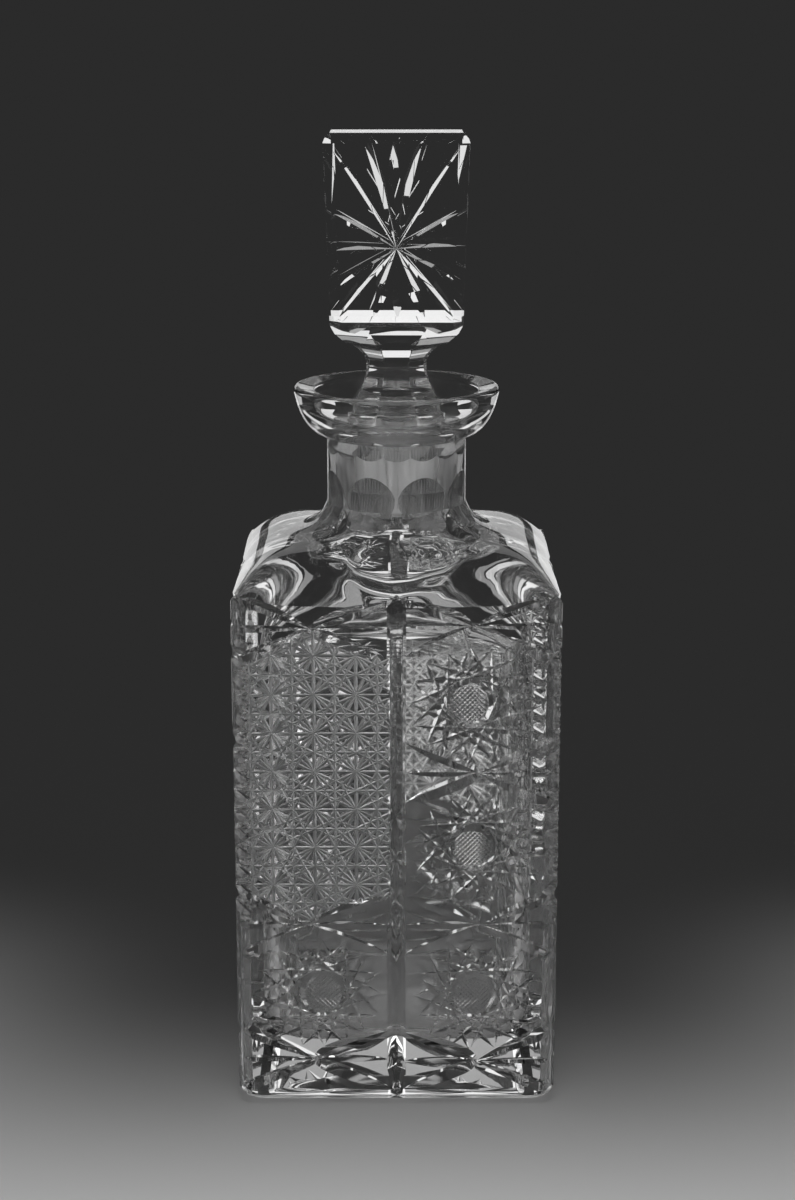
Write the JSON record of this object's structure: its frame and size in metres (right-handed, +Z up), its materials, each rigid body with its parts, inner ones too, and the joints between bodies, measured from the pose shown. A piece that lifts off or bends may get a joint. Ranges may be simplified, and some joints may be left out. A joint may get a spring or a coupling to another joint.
{
  "type": "cut glass decanter",
  "caption": "Square cut glass decanter with a domed shoulder, fluted neck, cup rim and a slab stopper that lifts out of the neck.",
  "frame": {"origin": "middle of the flat base, on the surface that the decanter stands on", "axes": "+Z up along the neck, the front face looks along -Y, +X to the right of the front face"},
  "size_m": [0.095, 0.095, 0.2843],
  "materials": {
    "bottle_crystal": "clear, cut and polished",
    "stopper_crystal": "clear, cut and polished, plug finely ground"
  },
  "bodies": {
    "bottle_body": {"bottle": "bottle_crystal"},
    "stopper_body": {"stopper": "stopper_crystal"}
  },
  "joints": [
    {"name": "stopper_lift", "type": "slide", "parent": "bottle_body", "child": "stopper_body", "axis": [0, 0, 1], "range_m": [0, 0.06]}
  ]
}
